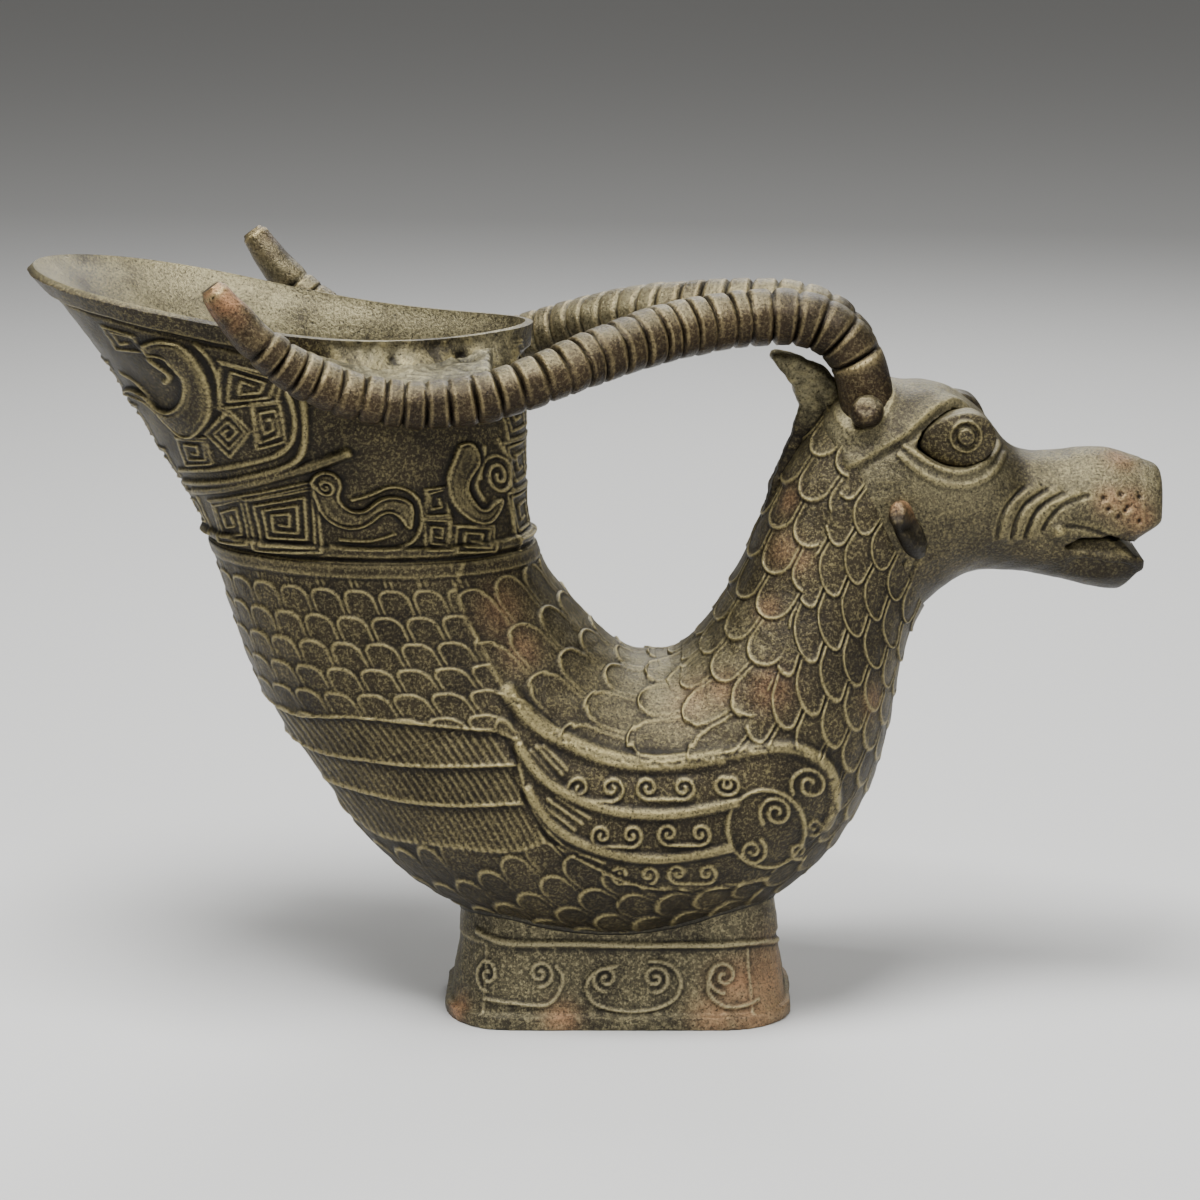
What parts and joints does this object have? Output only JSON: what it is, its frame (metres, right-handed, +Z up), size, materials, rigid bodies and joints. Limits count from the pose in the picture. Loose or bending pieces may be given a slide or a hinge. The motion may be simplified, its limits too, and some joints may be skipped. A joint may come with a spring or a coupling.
{
  "type": "bronze beast-head wine cup",
  "caption": "Hollow leaning bronze cup on an oval foot, shaped as a winged bird with a beast's head whose ribbed horns arch back to the cup as a double handle.",
  "frame": {"origin": "centre of the foot's underside", "axes": "+X to the beast's muzzle, +Z up, +Y to the beast's left"},
  "size_m": [0.1899, 0.0736, 0.1313],
  "materials": {
    "cast_bronze": "dark brown patina with khaki worn ridges",
    "foot_bronze": "brown patina rubbed to copper at the end",
    "horn_bronze": "near-black brown patina, copper at the tips",
    "filler_metal": "pitted grey-green filler"
  },
  "bodies": {
    "root": {"vessel_body": "cast_bronze", "head": "cast_bronze", "foot_ring": "foot_bronze", "mane_crest": "cast_bronze", "horn_right": "horn_bronze", "horn_left": "horn_bronze", "horn_pin_right": "horn_bronze", "horn_pin_left": "horn_bronze", "ear_right": "cast_bronze", "ear_left": "cast_bronze", "eye_right": "cast_bronze", "eye_left": "cast_bronze", "foot_braze": "filler_metal", "horn_braze_right": "filler_metal", "horn_braze_left": "filler_metal"}
  },
  "joints": []
}
